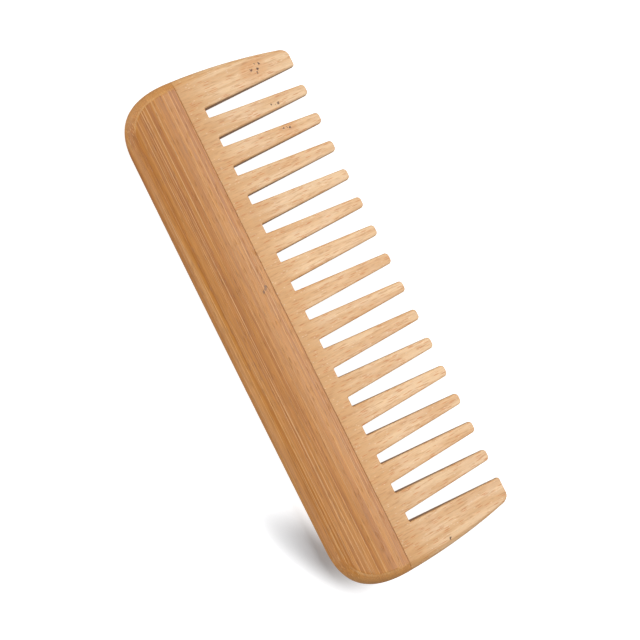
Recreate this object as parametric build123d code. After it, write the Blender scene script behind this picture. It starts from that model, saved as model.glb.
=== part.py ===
"""Wide tooth comb: a dark bamboo spine glued to a paler bamboo tooth plate by a tongue and groove.

The comb lies flat. +X runs along its length, +Y points to the spine's back edge, the teeth point
to -Y and +Z is up. The origin is under the middle of its bounding box. It is drawn about its
middle plane and lifted at the end. "Depth" is the distance from the back edge towards the tips.
"""

import os

from build123d import *

# Overall size
LENGTH = 169.0
WIDTH = 60.8
SPINE_THICK = 8.0

# Side section: both faces are the same, mirrored in the middle plane
FLAT_DEPTH = 12.0        # the two faces of the spine are parallel down to here
SEAM_DEPTH = 21.5        # the line where the spine ends and the tooth plate begins
SEAM_THICK_SPINE = 5.5   # the spine stands a hair proud of the tooth plate
SEAM_THICK_PLATE = 5.3
TIP_THICK = 1.9

# Plan outline
BACK_CROWN = 0.15        # how far the back edge drops from its middle to its corners
CORNER_LONG = 17.3       # how far a corner reaches along the back edge
CORNER_DEEP = 20.3       # and how far it reaches down the end
CORNER_FULLNESS = 0.67   # share of that reach taken by the corner curve's handles
SIDE_RADIUS = 189.0      # the ends draw in towards the tips on this radius

# Teeth
SLOT_COUNT = 15
PITCH = 10.0
ROW_SHIFT = 0.75         # the row of slots sits this far off the middle of the blank
ROOT_DEPTH = 27.45
SLOT_WIDTH_ROOT = 3.14
SLOT_WIDTH_TIP = 6.36
ROOT_CORNER = 0.3
TIP_CORNER = 1.3
GUARD_INNER_CORNER = 0.9
GUARD_OUTER_CORNER = 3.0

# Shaped and eased edges
RIM_ROUND = 4.05         # bullnose radius round the whole rim; the faces cut it to a soft line
TOOTH_EDGE = 0.65
SEAM_EASE = 0.15

# Glue joint between spine and tooth plate
TONGUE_DEPTH = 4.0
TONGUE_THICK = 2.0
TONGUE_END_GAP = 6.0     # the groove stops this far inside the ends
GLUE_ROOM = 0.1          # room left for glue at the groove's bottom and ends

# How the blank is glued up
SPINE_STRIPS = ["spine_back_strip", "spine_upper_strip", "spine_lower_strip", "spine_grooved_strip"]
JOINT_SLOTS = range(1, SLOT_COUNT, 3)    # the staves meet in the middle of these slots

HALF_LENGTH = LENGTH / 2
BACK_Y = WIDTH / 2
TIP_Y = -WIDTH / 2
SEAM_Y = BACK_Y - SEAM_DEPTH
ROOT_Y = BACK_Y - ROOT_DEPTH
CORNER_Y = BACK_Y - BACK_CROWN
WIDEST_Y = CORNER_Y - CORNER_DEEP
OVERRUN = 10.0           # how far cutting shapes run on past the comb
HAIR = 0.15              # a cutting shape stands this far off a wall that it must not touch
TOL = 0.01


def side_x(y):
    """Half the comb's length at y, below its widest line."""
    drop = WIDEST_Y - y
    return HALF_LENGTH - SIDE_RADIUS + (SIDE_RADIUS**2 - drop**2) ** 0.5


def side_arc(sign, y_from, y_to, outset=0.0):
    """One end's outline between two places below the widest line."""
    heights = (y_from, (y_from + y_to) / 2, y_to)
    return ThreePointArc(*[(sign * (side_x(y) + outset), y) for y in heights])


def corner_curve(sign):
    """One rounded corner of the spine, from the back edge to the widest line."""
    start_x = HALF_LENGTH - CORNER_LONG
    slope = 2 * BACK_CROWN / start_x
    reach = CORNER_LONG * CORNER_FULLNESS
    points = [
        (start_x, CORNER_Y),
        (start_x + reach, CORNER_Y - slope * reach),
        (HALF_LENGTH, WIDEST_Y + CORNER_DEEP * CORNER_FULLNESS),
        (HALF_LENGTH, WIDEST_Y),
    ]
    return Bezier(*[(sign * x, y) for x, y in points])


def blank():
    """A slab with the comb's outline and its rim rounded over, which runs on past the tips."""
    start_x = HALF_LENGTH - CORNER_LONG
    end_y = TIP_Y - OVERRUN
    plan = make_face([
        ThreePointArc((-start_x, CORNER_Y), (0, BACK_Y), (start_x, CORNER_Y)),
        corner_curve(1),
        side_arc(1, WIDEST_Y, end_y),
        Line((side_x(end_y), end_y), (-side_x(end_y), end_y)),
        side_arc(-1, end_y, WIDEST_Y),
        corner_curve(-1),
    ])
    slab = extrude(plan, RIM_ROUND + TOL, both=True)
    rim = [e for e in slab.edges() if is_level(e) and (e @ 0.5).Y > end_y + TOL]
    return fillet(rim, RIM_ROUND)


def is_level(edge):
    """True for an edge that runs more along the comb's faces than through its thickness."""
    return abs((edge % 0.5).Z) < 0.5


def along_x(section):
    """A solid of one side section, drawn as (Y, Z), right across the comb."""
    return extrude(Plane.YZ * section, LENGTH, both=True)


def spine_section():
    """Side section of the spine: parallel faces, then a convex fall to the seam."""
    half, seam_half = SPINE_THICK / 2, SEAM_THICK_SPINE / 2
    flat_y, outside_y = BACK_Y - FLAT_DEPTH, BACK_Y + OVERRUN
    run, fall = flat_y - SEAM_Y, half - seam_half
    radius = (run**2 + fall**2) / (2 * fall)
    mid_y = flat_y - run / 2
    mid_half = half - radius + (radius**2 - (run / 2) ** 2) ** 0.5
    return make_face([
        Line((outside_y, -half), (outside_y, half)),
        Line((outside_y, half), (flat_y, half)),
        ThreePointArc((flat_y, half), (mid_y, mid_half), (SEAM_Y, seam_half)),
        Line((SEAM_Y, seam_half), (SEAM_Y, -seam_half)),
        ThreePointArc((SEAM_Y, -seam_half), (mid_y, -mid_half), (flat_y, -half)),
        Line((flat_y, -half), (outside_y, -half)),
    ])


def plate_section():
    """Side section of the tooth plate: a straight wedge from the seam to the tips."""
    seam_half, tip_half = SEAM_THICK_PLATE / 2, TIP_THICK / 2
    corners = [(SEAM_Y, -seam_half), (SEAM_Y, seam_half), (TIP_Y, tip_half), (TIP_Y, -tip_half)]
    return Polygon(*corners, align=None)


def slot_middles():
    """X of every slot's middle, from -X to +X."""
    first = ROW_SHIFT - PITCH * (SLOT_COUNT - 1) / 2
    return [first + PITCH * i for i in range(SLOT_COUNT)]


def slot(middle_x):
    """The solid that one slot takes away. It runs on past the tips with the same taper."""
    half_root, half_tip = SLOT_WIDTH_ROOT / 2, SLOT_WIDTH_TIP / 2
    half_end = half_tip + (half_tip - half_root) / (ROOT_Y - TIP_Y) * OVERRUN
    corners = [
        (middle_x - half_root, ROOT_Y),
        (middle_x + half_root, ROOT_Y),
        (middle_x + half_end, TIP_Y - OVERRUN),
        (middle_x - half_end, TIP_Y - OVERRUN),
    ]
    plan = Polygon(*corners, align=None)
    plan = fillet(plan.vertices().group_by(Axis.Y)[-1], ROOT_CORNER)
    return extrude(plan, SPINE_THICK, both=True)


def tip_trim():
    """The plan that cuts the blank off at the tips and rounds the guard teeth's outer corners.

    It stands a hair outside the ends, so that only its tip line and its two corners cut.
    """
    tip_x, seam_x = side_x(TIP_Y) + HAIR, side_x(SEAM_Y) + HAIR
    plan = make_face([
        Line((-tip_x, TIP_Y), (tip_x, TIP_Y)),
        side_arc(1, TIP_Y, SEAM_Y, HAIR),
        Line((seam_x, SEAM_Y), (-seam_x, SEAM_Y)),
        side_arc(-1, SEAM_Y, TIP_Y, HAIR),
    ])
    plan = fillet(plan.vertices().group_by(Axis.Y)[0], GUARD_OUTER_CORNER)
    return extrude(plan, SPINE_THICK, both=True)


def round_tips(body):
    """Rounds the corners of every tooth tip, seen in plan."""
    middles = slot_middles()
    first_x, last_x = middles[0] - SLOT_WIDTH_TIP / 2, middles[-1] + SLOT_WIDTH_TIP / 2
    for radius, guard in ((GUARD_INNER_CORNER, True), (TIP_CORNER, False)):
        corners = [
            e for e in body.edges()
            if not is_level(e)
            and abs((e @ 0.5).Y - TIP_Y) < TOL
            and first_x - TOL < (e @ 0.5).X < last_x + TOL
            and guard == (not middles[0] < (e @ 0.5).X < middles[-1])
        ]
        body = fillet(corners, radius)
    return body


def seam_ease(thick):
    """Two fine V cuts that ease the seam edges of a part that is this thick there."""
    bar = Rot(45, 0, 0) * Box(2 * LENGTH, SEAM_EASE * 2**0.5, SEAM_EASE * 2**0.5)
    return [Pos(0, SEAM_Y, side * thick / 2) * bar for side in (-1, 1)]


def tongue(room=0.0):
    """The tongue on the tooth plate, or with some room added the groove that takes it."""
    half_x = side_x(SEAM_Y) - TONGUE_END_GAP + room
    depth = TONGUE_DEPTH + room
    return Pos(0, SEAM_Y + depth / 2, 0) * Box(2 * half_x, depth, TONGUE_THICK)


def spine():
    """The whole spine, before it is divided into strips."""
    return (blank() & along_x(spine_section())) - tongue(GLUE_ROOM) - seam_ease(SEAM_THICK_SPINE)


def tooth_plate():
    """The whole tooth plate, before it is divided into staves."""
    body = blank() & along_x(plate_section()) & tip_trim()
    body = body - [slot(x) for x in slot_middles()]
    body = round_tips(body)
    rim = [
        e for e in body.edges()
        if is_level(e) and abs((e @ 0.5).Z) > 2 * TOL and (e @ 0.5).Y < SEAM_Y - TOL
    ]
    return fillet(rim, TOOTH_EDGE) - seam_ease(SEAM_THICK_PLATE) + tongue()


def bands(places, body, across):
    """The body divided at the places, which are Y values across the comb or X values along it."""
    pieces = []
    for low, high in zip(places, places[1:]):
        width, middle = high - low, (low + high) / 2
        if across:
            band = Pos(0, middle, 0) * Box(2 * LENGTH, width, SPINE_THICK * 2)
        else:
            band = Pos(middle, 0, 0) * Box(width, 2 * WIDTH, SPINE_THICK * 2)
        pieces.append(body & band)
    return pieces


def spine_strips():
    """Long strips, side by side from the back edge to the seam."""
    step = SEAM_DEPTH / len(SPINE_STRIPS)
    places = [SEAM_Y + step * i for i in range(len(SPINE_STRIPS))] + [BACK_Y + OVERRUN]
    return dict(zip(reversed(SPINE_STRIPS), bands(places, spine(), across=True)))


def tooth_staves():
    """Upright staves, side by side from -X to +X, that meet in the middle of a slot."""
    middles = slot_middles()
    places = [-LENGTH] + [middles[i] for i in JOINT_SLOTS] + [LENGTH]
    staves = bands(places, tooth_plate(), across=False)
    return {f"tooth_stave_{i + 1}": stave for i, stave in enumerate(staves)}


def main():
    os.makedirs("parts", exist_ok=True)
    for name, body in {**spine_strips(), **tooth_staves()}.items():
        export_step(Pos(0, 0, SPINE_THICK / 2) * body, f"parts/{name}.step")


main()
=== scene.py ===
"""Wide tooth comb in two kinds of bamboo: looks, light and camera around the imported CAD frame."""

import math

import bmesh
import bpy
from mathutils import Matrix, Vector


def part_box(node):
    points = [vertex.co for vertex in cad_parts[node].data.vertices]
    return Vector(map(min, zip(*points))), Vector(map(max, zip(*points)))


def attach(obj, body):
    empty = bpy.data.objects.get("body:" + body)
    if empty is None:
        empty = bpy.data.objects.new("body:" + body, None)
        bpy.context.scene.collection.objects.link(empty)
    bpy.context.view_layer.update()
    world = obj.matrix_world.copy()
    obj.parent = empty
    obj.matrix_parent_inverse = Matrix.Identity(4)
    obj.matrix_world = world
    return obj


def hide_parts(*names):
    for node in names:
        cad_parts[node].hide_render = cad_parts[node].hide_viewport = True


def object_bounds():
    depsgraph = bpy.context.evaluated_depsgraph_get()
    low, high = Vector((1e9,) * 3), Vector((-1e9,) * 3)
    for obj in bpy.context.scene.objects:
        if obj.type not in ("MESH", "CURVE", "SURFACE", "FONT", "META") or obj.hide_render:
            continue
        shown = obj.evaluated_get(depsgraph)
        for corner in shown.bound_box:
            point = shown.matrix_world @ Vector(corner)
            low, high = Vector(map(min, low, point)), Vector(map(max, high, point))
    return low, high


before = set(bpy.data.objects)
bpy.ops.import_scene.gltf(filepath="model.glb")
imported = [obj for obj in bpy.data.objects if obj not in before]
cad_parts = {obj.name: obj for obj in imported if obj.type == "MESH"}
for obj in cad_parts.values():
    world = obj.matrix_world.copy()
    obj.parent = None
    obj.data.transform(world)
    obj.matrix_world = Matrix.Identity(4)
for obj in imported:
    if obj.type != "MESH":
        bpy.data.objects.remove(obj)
cad_low, cad_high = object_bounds()

MM = 0.001

# Places that the frame gives
BACK_Y = cad_high.y
TIP_Y = cad_low.y
HALF_LENGTH = cad_high.x
MIDDLE_Z = (cad_low.z + cad_high.z) / 2
SEAM_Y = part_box("spine_grooved_strip")[0].y
STRIPS = ("spine_back_strip", "spine_upper_strip", "spine_lower_strip", "spine_grooved_strip")
STAVES = tuple(f"tooth_stave_{i}" for i in range(1, 7))

# Side section of the comb: where the flat of the spine ends, and half thicknesses
FLAT_Y = BACK_Y - 12.0 * MM
SPINE_HALF = cad_high.z - MIDDLE_Z
SEAM_HALF_SPINE = 2.75 * MM
SEAM_HALF_PLATE = 2.65 * MM
TIP_HALF = 0.95 * MM

# Plan outline
BACK_CROWN = 0.15 * MM
CORNER_LONG = 17.3 * MM
CORNER_DEEP = 20.3 * MM
CORNER_FULLNESS = 0.67
SIDE_RADIUS = 189.0 * MM
WIDEST_Y = BACK_Y - BACK_CROWN - CORNER_DEEP

# Teeth
SLOT_COUNT = 15
PITCH = 10.0 * MM
ROW_SHIFT = 0.75 * MM
ROOT_Y = BACK_Y - 27.45 * MM
SLOT_HALF_ROOT = 1.57 * MM
SLOT_HALF_TIP = 3.18 * MM
ROOT_CORNER = 0.3 * MM
TIP_CORNER = 1.3 * MM
GUARD_INNER_CORNER = 0.9 * MM
GUARD_OUTER_CORNER = 3.0 * MM

# Rounded edges: how far in they reach, and the angle at which they meet the face. On a guard tooth's
# outer edge the reach falls, with the power GUARD_FALL, from the rim's at the seam to GUARD_REACH_TIP
# at the tips. It blends into a plain tooth's edge over GUARD_BAND, and ends GUARD_TIP_GAP from the tips.
RIM_REACH = 3.4 * MM
RIM_REACH_SEAM = 3.3 * MM
GUARD_REACH_TIP = 0.8 * MM
TOOTH_REACH = 0.62 * MM
RIM_ANGLE = math.radians(70)
TOOTH_ANGLE = math.radians(84)
GUARD_BAND = 2.5 * MM
GUARD_TIP_GAP = 0.5 * MM
GUARD_FALL = 0.7
EDGE_STEPS = 9
SHARP_ANGLE = math.radians(35)
SEAM_EASE = 0.12 * MM
WELD = 0.001 * MM

# Stage: an even light from all round, how much the floor and the dome glow, and their sizes in metres
AMBIENT = 0.25
FLOOR_SIZE = 12.0
FLOOR_BASE = (0.5, 0.5, 0.51, 1)
FLOOR_GLOW = 0.85
SHADOW_GLOW = 0.12
DOME_RADIUS = 5.0
DOME_GLOW = 0.98

# The oval that stands for a shadow beside the spine's end, in mm
SHADOW_PLACE = (-65.0, 33.5, 0.0)
SHADOW_TURN = (0.0, 0.0, math.radians(27))
SHADOW_SIZE = (33.0, 11.0, 1.0)

# Camera, in mm, with the image's upward direction
CAMERA_PLACE = (-1.51, 101.12, 365.4)
CAMERA_TARGET = (-2.30, -0.63, 4.0)
CAMERA_UP = (0.8958, -0.4284, 0.1186)
CAMERA_LENS = 67.5

# Softboxes: name, direction from the comb, distance, size (both in metres) and radiance
SOFTBOXES = (
    ("key", (0.02, -0.56, 0.74), 2.2, (2.6, 1.3), 4.3),
    ("fill", (0.5, 0.8, 0.42), 2.4, (4.2, 2.0), 1.0),
    ("low_edge", (0.25, 1.0, 0.12), 2.2, (4.4, 0.6), 4.0),
)

# Gloss of the bamboo's surface
SURFACE_GLOSS = 0.56

# Tone of each strip and stave, and the dark specks that a bamboo node leaves: X, Y in mm and size
# The spine's strips grow lighter towards the seam: partly their own tone, partly a painted sheen by the
# seam
STRIP_TONES_AND_SHEEN = (0.93, 0.96, 0.99, 1.06)
STAVE_TONES = (0.95, 0.98, 0.97, 0.98, 0.96, 0.94)
KNOT_SPECKS = ((13.1, 12.4, 0.8), (13.7, 11.7, 0.6), (14.3, 11.1, 1.0))
NODE_SPECKS = (
    (77.9, -16.4, 1.1),
    (77.6, -18.5, 1.0),
    (79.0, -19.7, 1.0),
    (76.4, -17.9, 0.6),
    (79.2, -18.2, 0.5),
    (65.6, -17.3, 0.8),
    (65.0, -19.6, 1.0),
    (64.7, -18.5, 0.5),
    (56.9, -17.4, 0.9),
    (56.5, -19.5, 1.1),
    (57.0, -18.6, 0.5),
    (-81.6, -6.6, 1.1),
)


def side_x(y):
    """Half the comb's length at y, below its widest line."""
    return HALF_LENGTH - SIDE_RADIUS + math.sqrt(SIDE_RADIUS**2 - (WIDEST_Y - y) ** 2)


def half_thickness(y, spine):
    """Half the comb's thickness at y."""
    if not spine:
        share = (SEAM_Y - y) / (SEAM_Y - TIP_Y)
        return SEAM_HALF_PLATE + (TIP_HALF - SEAM_HALF_PLATE) * share
    if y >= FLAT_Y:
        return SPINE_HALF
    run, fall = FLAT_Y - SEAM_Y, SPINE_HALF - SEAM_HALF_SPINE
    radius = (run**2 + fall**2) / (2 * fall)
    return SPINE_HALF - radius + math.sqrt(radius**2 - (FLAT_Y - y) ** 2)


def between(a, b, count):
    """Points on a straight line after a, ending with b."""
    return [a.lerp(b, (i + 1) / count) for i in range(count)]


def spine_path():
    """The spine's outline from the seam's left end round the back to its right end."""
    side = [Vector((side_x(y), y)) for y in steps(SEAM_Y, WIDEST_Y, 6)]
    start_x = HALF_LENGTH - CORNER_LONG
    corner_y = BACK_Y - BACK_CROWN
    slope = 2 * BACK_CROWN / start_x
    reach = CORNER_LONG * CORNER_FULLNESS
    controls = [
        Vector((HALF_LENGTH, WIDEST_Y)),
        Vector((HALF_LENGTH, WIDEST_Y + CORNER_DEEP * CORNER_FULLNESS)),
        Vector((start_x + reach, corner_y - slope * reach)),
        Vector((start_x, corner_y)),
    ]
    corner = [bezier(controls, t) for t in steps(0, 1, 44)]
    back = [Vector((x, BACK_Y - BACK_CROWN * (x / start_x) ** 2)) for x in steps(start_x, 0, 24)]
    right = side + corner[1:] + back[1:]
    left = [Vector((-p.x, p.y)) for p in right]
    return left + right[-2::-1]


def steps(low, high, count):
    """count + 1 evenly spaced values from low to high."""
    return [low + (high - low) * i / count for i in range(count + 1)]


def bezier(points, t):
    """A point on a cubic Bezier curve."""
    while len(points) > 1:
        points = [a.lerp(b, t) for a, b in zip(points, points[1:])]
    return points[0]


def slot_middles():
    """X of every slot's middle, from -X to +X."""
    return [ROW_SHIFT + PITCH * (i - (SLOT_COUNT - 1) / 2) for i in range(SLOT_COUNT)]


def rounded_corner(before, corner, after, radius, count):
    """An arc of that radius in place of a corner."""
    to_before, to_after = (before - corner).normalized(), (after - corner).normalized()
    half_angle = to_before.angle(to_after) / 2
    centre = corner + (to_before + to_after).normalized() * radius / math.sin(half_angle)
    start = corner + to_before * radius / math.tan(half_angle) - centre
    turn = math.pi - 2 * half_angle
    if to_before.cross(to_after) > 0:
        turn = -turn
    return [centre + Matrix.Rotation(turn * i / count, 2) @ start for i in range(count + 1)]


def plate_path():
    """The tooth plate's outline from the seam's left end round all the teeth to its right end."""
    left = [Vector((-side_x(y), y)) for y in steps(SEAM_Y, TIP_Y, 20)]
    corners = [(left[-1], GUARD_OUTER_CORNER, 8)]
    middles = slot_middles()
    for x in middles:
        first, last = x == middles[0], x == middles[-1]
        left_radius = GUARD_INNER_CORNER if first else TIP_CORNER
        right_radius = GUARD_INNER_CORNER if last else TIP_CORNER
        corners += [
            (Vector((x - SLOT_HALF_TIP, TIP_Y)), left_radius, 8),
            (Vector((x - SLOT_HALF_ROOT, ROOT_Y)), ROOT_CORNER, 4),
            (Vector((x + SLOT_HALF_ROOT, ROOT_Y)), ROOT_CORNER, 4),
            (Vector((x + SLOT_HALF_TIP, TIP_Y)), right_radius, 8),
        ]
    right = [Vector((-p.x, p.y)) for p in reversed(left)]
    corners.append((right[0], GUARD_OUTER_CORNER, 8))
    places = [left[-2]] + [c[0] for c in corners] + [right[1]]
    path = left[:-2]
    for i, (corner, radius, count) in enumerate(corners):
        arc = rounded_corner(places[i], corner, places[i + 2], radius, count)
        path += between(path[-1], arc[0], 8 if abs(path[-1].y - arc[0].y) > 20 * MM else 2)
        path += arc[1:]
    path += between(path[-1], right[2], 2) + right[3:]
    return path


def edge_shape(point, spine):
    """(reach, drop, angle) of the rounded edge at an outline point."""
    half = half_thickness(point.y, spine)
    if spine:
        share = min(1.0, max(0.0, (point.y - SEAM_Y) / (FLAT_Y - SEAM_Y)))
        return RIM_REACH_SEAM + (RIM_REACH - RIM_REACH_SEAM) * share, half, RIM_ANGLE
    outer = side_x(point.y) - abs(point.x)
    guard = max(0.0, 1 - outer / GUARD_BAND) if point.y > TIP_Y + GUARD_TIP_GAP else 0.0
    share = (SEAM_Y - point.y) / (SEAM_Y - TIP_Y)
    guard_reach = RIM_REACH_SEAM + (GUARD_REACH_TIP - RIM_REACH_SEAM) * share**GUARD_FALL
    reach = TOOTH_REACH + (guard_reach - TOOTH_REACH) * guard
    drop = TOOTH_REACH + (half - TOOTH_REACH) * guard
    return reach, min(drop, half), TOOTH_ANGLE + (RIM_ANGLE - TOOTH_ANGLE) * guard


def inward(path, i, turn_in):
    """The direction into the material at an outline point; at the two ends it runs along the seam."""
    if i in (0, len(path) - 1):
        return Vector((1 if i == 0 else -1, 0))
    along = (path[i + 1] - path[i]).normalized() + (path[i] - path[i - 1]).normalized()
    return Vector((-along.y, along.x)).normalized() * turn_in


def path_side(path):
    """1 if the material lies to the left of the path, else -1."""
    return 1 if path[len(path) // 2].y < path[0].y else -1


def ease_seam(mesh, spine):
    """Breaks the seam's sharp edges with a fine slope."""
    start = SEAM_Y + (SEAM_EASE if spine else -SEAM_EASE)
    cut(mesh, (0, start, 0), (0, 1, 0), False)
    half = half_thickness(SEAM_Y, spine)
    for vertex in mesh.verts:
        if abs(vertex.co.y - SEAM_Y) < WELD:
            vertex.co.z = MIDDLE_Z + (vertex.co.z - MIDDLE_Z) * (1 - SEAM_EASE / half)


def build_shell(path, spine):
    """A closed mesh of the spine or the tooth plate: rounded edges along the path, flat at the seam."""
    mesh = bmesh.new()
    rim = mesh.verts.layers.float.new("rim")
    rings = []
    turn_in = path_side(path)
    for side in (1, -1):
        angles = steps(1, 0, EDGE_STEPS) if side > 0 else steps(0, 1, EDGE_STEPS)
        for share in angles:
            ring = []
            for i, point in enumerate(path):
                reach, drop, angle = edge_shape(point, spine)
                direction = inward(path, i, turn_in)
                inset = reach * (1 - math.cos(angle * share)) / (1 - math.cos(angle))
                place = point + direction * inset
                depth = drop * (1 - math.sin(angle * share) / math.sin(angle))
                height = half_thickness(place.y, spine) - depth
                vertex = mesh.verts.new((place.x, place.y, MIDDLE_Z + side * height))
                vertex[rim] = 1 - share
                ring.append(vertex)
            rings.append(ring)
    for upper, lower in zip(rings, rings[1:]):
        for i in range(len(path) - 1):
            mesh.faces.new((upper[i], upper[i + 1], lower[i + 1], lower[i]))
    mesh.faces.new(rings[0])
    mesh.faces.new(rings[-1])
    mesh.faces.new([r[0] for r in rings] + [r[-1] for r in reversed(rings)])
    bmesh.ops.remove_doubles(mesh, verts=mesh.verts, dist=WELD)
    bmesh.ops.recalc_face_normals(mesh, faces=mesh.faces)
    return mesh


def cut(mesh, place, normal, keep_below):
    """Cuts a mesh at a plane. With keep_below it keeps the side the normal points away from, closed."""
    geometry = mesh.verts[:] + mesh.edges[:] + mesh.faces[:]
    made = bmesh.ops.bisect_plane(
        mesh, geom=geometry, plane_co=place, plane_no=normal, dist=1e-7, clear_outer=keep_below
    )
    if keep_below:
        edges = [g for g in made["geom_cut"] if isinstance(g, bmesh.types.BMEdge)]
        bmesh.ops.edgeloop_fill(mesh, edges=edges)


def finish_piece(mesh, name, material):
    """Makes the object that stands for a CAD node."""
    bmesh.ops.dissolve_degenerate(mesh, dist=WELD, edges=mesh.edges)
    bmesh.ops.triangulate(mesh, faces=[f for f in mesh.faces if len(f.verts) > 4])
    bmesh.ops.recalc_face_normals(mesh, faces=mesh.faces)
    data = bpy.data.meshes.new(name)
    mesh.to_mesh(data)
    mesh.free()
    data.shade_smooth()
    data.set_sharp_from_angle(angle=SHARP_ANGLE)
    data.materials.append(material)
    piece = bpy.data.objects.new("shaped_" + name, data)
    bpy.context.scene.collection.objects.link(piece)
    weighted = piece.modifiers.new("normals", "WEIGHTED_NORMAL")
    weighted.weight = 100
    weighted.keep_sharp = True
    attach(piece, "root")
    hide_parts(name)
    return piece


def paint(red, green, blue):
    """A colour named by its screen values from 0 to 255."""
    return (*[((v / 255 + 0.055) / 1.055) ** 2.4 for v in (red, green, blue)], 1.0)


class Graph:
    """A material whose nodes are made with short calls. Its coordinates are in millimetres."""

    def __init__(self, name):
        self.material = bpy.data.materials.new(name)
        self.material.use_nodes = True
        self.tree = self.material.node_tree
        self.shader = self.tree.nodes["Principled BSDF"]
        place = self.node("TexCoord").outputs["Object"]
        self.place = self.node("VectorMath", {0: place, "Scale": 1 / MM}, operation="SCALE").outputs[0]
        apart = self.node("SeparateXYZ", {0: self.place})
        self.x, self.y, self.z = apart.outputs
        facing = self.node("SeparateXYZ", {0: self.node("NewGeometry").outputs["Normal"]})
        self.facing_x = self.math("ABSOLUTE", facing.outputs["X"])
        self.rim = self.node("Attribute", attribute_name="rim").outputs["Fac"]

    def node(self, kind, values=None, **settings):
        made = self.tree.nodes.new("ShaderNode" + kind)
        for name, value in settings.items():
            setattr(made, name, value)
        for key, value in (values or {}).items():
            self.put(value, made.inputs[key])
        return made

    def put(self, value, socket):
        """Links a socket, or sets it to a constant."""
        if isinstance(value, bpy.types.NodeSocket):
            self.tree.links.new(value, socket)
        else:
            socket.default_value = value

    def math(self, operation, a, b=0.0):
        return self.node("Math", {0: a, 1: b}, operation=operation).outputs[0]

    def times(self, *values):
        product = values[0]
        for value in values[1:]:
            product = self.math("MULTIPLY", product, value)
        return product

    def stretched(self, wavelengths, seed):
        """Coordinates in which a pattern has these wavelengths, in millimetres."""
        shift = (seed * 3.7, seed * 11.3, seed * 7.9)
        scale = [1 / w for w in wavelengths]
        return self.node("Mapping", {"Vector": self.place, "Location": shift, "Scale": scale}).outputs[0]

    def noise(self, wavelengths, seed, detail=2.0, roughness=0.5):
        values = {
            "Vector": self.stretched(wavelengths, seed),
            "Scale": 1.0,
            "Detail": detail,
            "Roughness": roughness,
        }
        return self.node("TexNoise", values).outputs["Fac"]

    def fade(self, value, low, high, at_low=0.0, at_high=1.0):
        """A smooth step from at_low to at_high while the value goes from low to high."""
        keys = ("Value", "From Min", "From Max", "To Min", "To Max")
        values = dict(zip(keys, (value, low, high, at_low, at_high)))
        return self.node("MapRange", values, interpolation_type="SMOOTHSTEP").outputs[0]

    def mix(self, share, a, b, blend="MIX"):
        made = self.node("Mix", {0: share, 6: a, 7: b}, data_type="RGBA", blend_type=blend)
        return made.outputs[2]

    def brightness(self, colour, value):
        return self.node("HueSaturation", {"Color": colour, "Value": value}).outputs[0]

    def dashes(self, cell, seed, share, width):
        """Short dashes, one in each cell of a stretched grid, on that share of the cells."""
        values = {"Vector": self.stretched(cell, seed), "Scale": 1.0, "Randomness": 1.0}
        cells = self.node("TexVoronoi", values)
        lot = self.node("SeparateXYZ", {0: cells.outputs["Color"]}).outputs[0]
        chosen = self.math("LESS_THAN", lot, share)
        return self.times(self.fade(cells.outputs["Distance"], width, width * 0.45), chosen)

    def spots(self, centres, radii):
        """1 inside small ovals of these radii about the centres, on both faces."""
        ragged = self.fade(self.noise((0.5, 0.6, 0.5), 5, 3), 0.3, 0.7, -0.35, 0.35)
        across = self.math("ADD", self.x, ragged)
        total = 0.0
        for x, y, size in centres:
            away_x = self.math("DIVIDE", self.math("SUBTRACT", across, x), radii[0] * size)
            away_y = self.math("DIVIDE", self.math("SUBTRACT", self.y, y), radii[1] * size)
            away = self.math("ADD", self.times(away_x, away_x), self.times(away_y, away_y))
            total = self.math("MAXIMUM", total, self.fade(away, 1.0, 0.3))
        return total

    def line(self, y, half_width):
        """1 on the line that runs along the comb at this Y, in metres."""
        away = self.math("ABSOLUTE", self.math("SUBTRACT", self.y, y / MM))
        return self.fade(away, half_width, half_width * 0.4)

    def finish(self, colour, roughness, height, depth):
        """Puts the patterns on the shader. The depth of the relief is in metres."""
        bump = self.node("Bump", {"Height": height, "Strength": 1.0, "Distance": depth})
        self.put(colour, self.shader.inputs["Base Color"])
        self.put(roughness, self.shader.inputs["Roughness"])
        self.put(bump.outputs[0], self.shader.inputs["Normal"])
        self.shader.inputs["Specular IOR Level"].default_value = SURFACE_GLOSS
        return self.material


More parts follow.
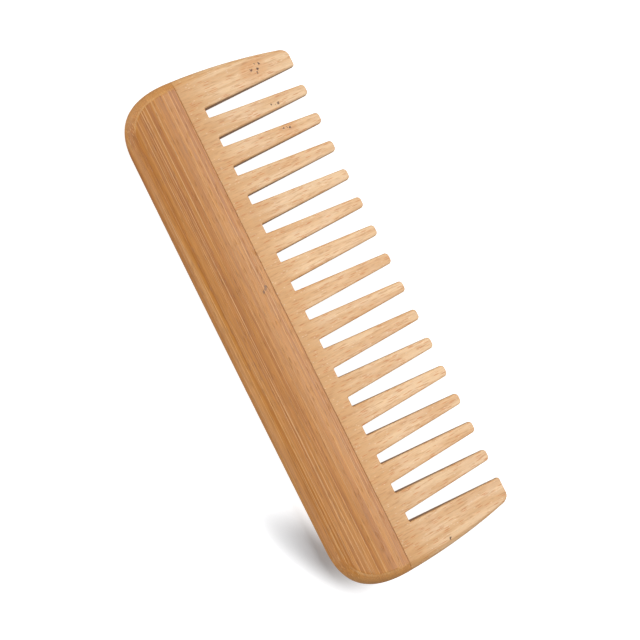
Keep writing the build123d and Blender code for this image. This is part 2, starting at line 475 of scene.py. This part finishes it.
def dark_bamboo(name, seed, tone):
    """Carbonised bamboo with its fibres along X."""
    g = Graph(name)
    bands = g.noise((140, 2.0, 2.0), seed, 4)
    colour = g.mix(g.fade(bands, 0.36, 0.64), paint(173, 105, 36), paint(194, 128, 50))
    hue = g.noise((60, 9, 9), seed + 1)
    colour = g.mix(g.fade(hue, 0.4, 0.7, 0.0, 0.45), colour, paint(204, 142, 76))
    dark_streaks = g.fade(g.noise((22, 0.5, 0.5), seed + 2, 3), 0.52, 0.68)
    colour = g.mix(g.times(dark_streaks, 0.35), colour, paint(148, 88, 36))
    light_streaks = g.fade(g.noise((80, 0.32, 0.32), seed + 3, 3), 0.54, 0.65)
    colour = g.mix(g.times(light_streaks, 0.62), colour, paint(226, 174, 112))
    fibres = g.noise((5.0, 0.24, 0.24), seed + 4, 3, 0.65)
    pores = g.dashes((4.5, 0.4, 0.4), seed + 5, 0.55, 0.34)
    end_grain = g.fade(g.facing_x, 0.2, 0.5)
    colour = g.mix(g.times(pores, 0.35), colour, paint(120, 70, 30))
    colour = g.mix(g.times(end_grain, 0.55), colour, paint(208, 152, 92))
    # A light line along the ridge where the spine's ends meet their rounded rim: wear, and a painted
    # highlight on that ridge
    ridge_wear_and_highlight = g.times(g.fade(g.rim, 0.01, 0.06), g.fade(g.rim, 0.2, 0.08), g.fade(g.facing_x, 0.05, 0.2))
    colour = g.mix(g.times(ridge_wear_and_highlight, 0.6, g.noise((7, 4, 4), seed + 6)), colour, paint(228, 184, 128))
    knot = g.spots(KNOT_SPECKS, (0.75, 0.55))
    colour = g.mix(g.times(knot, 0.75), colour, paint(98, 66, 42))
    colour = g.mix(g.times(g.line(SEAM_Y, 0.28), 0.25), colour, paint(110, 66, 34))
    # For the spine's strip by the seam, the tone also holds a painted sheen
    value = g.times(g.fade(fibres, 0.25, 0.75, 0.86, 1.12), tone)
    colour = g.brightness(colour, value)
    relief = g.math("SUBTRACT", g.math("ADD", fibres, g.times(light_streaks, 0.5)), pores)
    roughness = g.math("ADD", g.fade(fibres, 0.3, 0.7, 0.34, 0.46), g.fade(g.rim, 0.02, 0.2, 0.0, 0.12))
    return g.finish(colour, roughness, relief, 0.035 * MM)


def pale_bamboo(name, seed, tone):
    """Natural bamboo with its fibres along Y."""
    g = Graph(name)
    bands = g.noise((1.9, 34, 1.9), seed, 3)
    colour = g.mix(g.fade(bands, 0.36, 0.64), paint(224, 175, 122), paint(240, 201, 154))
    patches = g.noise((4, 9, 4), seed + 1)
    colour = g.mix(g.fade(patches, 0.45, 0.75, 0.0, 0.45), colour, paint(238, 200, 160))
    near_seam = g.fade(g.y, -6.0, SEAM_Y / MM, 0.0, 0.85)
    colour = g.mix(near_seam, colour, paint(217, 162, 101))
    streaks = g.fade(g.noise((0.42, 5.0, 0.42), seed + 2, 3), 0.53, 0.7)
    colour = g.mix(g.times(streaks, 0.6), colour, paint(196, 134, 74))
    dashes = g.dashes((0.46, 5.2, 0.46), seed + 3, 0.75, 0.32)
    colour = g.mix(g.times(dashes, 0.75), colour, paint(206, 118, 44))
    flecks = g.dashes((0.6, 1.5, 0.6), seed + 4, 0.3, 0.3)
    colour = g.mix(g.times(flecks, 0.4), colour, paint(250, 226, 194))
    fibres = g.noise((0.2, 3.5, 0.2), seed + 5, 3, 0.6)
    tint = g.spots([(77.6, -17.0, 1.0), (56.4, -19.0, 0.6)], (4.2, 6.0))
    colour = g.mix(g.times(tint, 0.35), colour, paint(214, 140, 66))
    specks = g.spots(NODE_SPECKS, (0.38, 0.5))
    colour = g.mix(g.times(specks, 0.9), colour, paint(78, 40, 16))
    # Painted shade: the steep part of the tooth plate's rounded edges and its walls, most of them inside
    # the narrow slots, are darker
    painted_wall_shade = g.fade(g.rim, 0.55, 0.95)
    colour = g.mix(g.times(painted_wall_shade, 0.55), colour, paint(150, 104, 66))
    colour = g.mix(g.times(g.line(SEAM_Y, 0.22), 0.15), colour, paint(140, 92, 52))
    value = g.times(g.fade(fibres, 0.25, 0.75, 0.92, 1.07), tone)
    colour = g.brightness(colour, value)
    relief = g.math("SUBTRACT", fibres, g.times(dashes, 0.5))
    roughness = g.fade(fibres, 0.3, 0.7, 0.4, 0.52)
    return g.finish(colour, roughness, relief, 0.03 * MM)


def build_comb():
    """Cuts the spine into its strips and the tooth plate into its staves."""
    spine = build_shell(spine_path(), True)
    ease_seam(spine, True)
    for y in steps(SEAM_Y, FLAT_Y, 14)[1:]:
        cut(spine, (0, y, 0), (0, 1, 0), False)
    for i, name in enumerate(STRIPS):
        low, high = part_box(name)
        piece = spine.copy()
        if name != STRIPS[0]:
            cut(piece, (0, high.y, 0), (0, 1, 0), True)
        if name != STRIPS[-1]:
            cut(piece, (0, low.y, 0), (0, -1, 0), True)
        material = dark_bamboo("dark_bamboo_" + name, 10.0 * i + 3, STRIP_TONES_AND_SHEEN[i])
        finish_piece(piece, name, material)
    plate = build_shell(plate_path(), False)
    ease_seam(plate, False)
    for i, name in enumerate(STAVES):
        low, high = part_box(name)
        piece = plate.copy()
        if name != STAVES[-1]:
            cut(piece, (high.x, 0, 0), (1, 0, 0), True)
        if name != STAVES[0]:
            cut(piece, (low.x, 0, 0), (-1, 0, 0), True)
        material = pale_bamboo("pale_bamboo_" + name, 10.0 * i + 50, STAVE_TONES[i])
        finish_piece(piece, name, material)
    spine.free()
    plate.free()


def add_camera():
    """A long lens from above the spine's side, rolled so that the comb runs down to the right."""
    camera = bpy.data.objects.new("camera", bpy.data.cameras.new("camera"))
    bpy.context.scene.collection.objects.link(camera)
    place = Vector(CAMERA_PLACE) * MM
    back = (place - Vector(CAMERA_TARGET) * MM).normalized()
    right = Vector(CAMERA_UP).cross(back).normalized()
    turn = Matrix((right, back.cross(right), back)).transposed()
    camera.matrix_world = Matrix.Translation(place) @ turn.to_4x4()
    camera.data.lens = CAMERA_LENS
    camera.data.sensor_width = 36.0
    camera.data.clip_start, camera.data.clip_end = 0.01, 10.0
    bpy.context.scene.camera = camera


def glowing(name, base):
    """A plain stage material that gives off white light of its own."""
    g = Graph(name)
    g.shader.inputs["Base Color"].default_value = base
    g.shader.inputs["Emission Color"].default_value = (1, 1, 1, 1)
    g.shader.inputs["Roughness"].default_value = 0.9
    return g


def shadow_patch(g):
    """How much the floor glows: least beside the spine's left end, in imitation of a soft shadow."""
    values = {"Vector": g.place, "Location": SHADOW_PLACE, "Rotation": SHADOW_TURN, "Scale": SHADOW_SIZE}
    oval = g.node("Mapping", values, vector_type="TEXTURE").outputs[0]
    away = g.node("VectorMath", {0: oval}, operation="LENGTH").outputs["Value"]
    return g.fade(away, 0.1, 1.0, SHADOW_GLOW, FLOOR_GLOW)


def add_stage():
    """A floor and a dome that glow, which the camera sees but the comb neither mirrors nor is lit by."""
    bpy.ops.mesh.primitive_plane_add(size=FLOOR_SIZE, location=(0, 0, 0))
    floor = bpy.context.object
    floor.name = "floor"
    floor_look = glowing("floor", FLOOR_BASE)
    floor_look.put(shadow_patch(floor_look), floor_look.shader.inputs["Emission Strength"])
    bpy.ops.mesh.primitive_uv_sphere_add(radius=DOME_RADIUS, segments=48, ring_count=24)
    dome = bpy.context.object
    dome.name = "dome"
    dome_look = glowing("dome", (0, 0, 0, 1))
    dome_look.shader.inputs["Emission Strength"].default_value = DOME_GLOW
    for stage, look in ((floor, floor_look), (dome, dome_look)):
        stage.data.materials.append(look.material)
        stage.visible_diffuse = False
        stage.visible_glossy = False
    dome.visible_shadow = False
    world = bpy.data.worlds.new("studio")
    world.use_nodes = True
    world.node_tree.nodes["Background"].inputs["Color"].default_value = (1, 1, 1, 1)
    world.node_tree.nodes["Background"].inputs["Strength"].default_value = AMBIENT
    bpy.context.scene.world = world


def add_light(name, direction, distance, size, radiance):
    """A softbox that looks at the comb."""
    data = bpy.data.lights.new(name, "AREA")
    data.shape, data.size, data.size_y = "RECTANGLE", size[0], size[1]
    data.energy = radiance * size[0] * size[1] * math.pi
    lamp = bpy.data.objects.new(name, data)
    place = Vector(direction).normalized() * distance
    lamp.location = place
    lamp.rotation_euler = (-place).to_track_quat("-Z", "Y").to_euler()
    bpy.context.scene.collection.objects.link(lamp)


build_comb()
add_camera()
add_stage()
for softbox in SOFTBOXES:
    add_light(*softbox)
bpy.context.scene.view_settings.view_transform = "Standard"
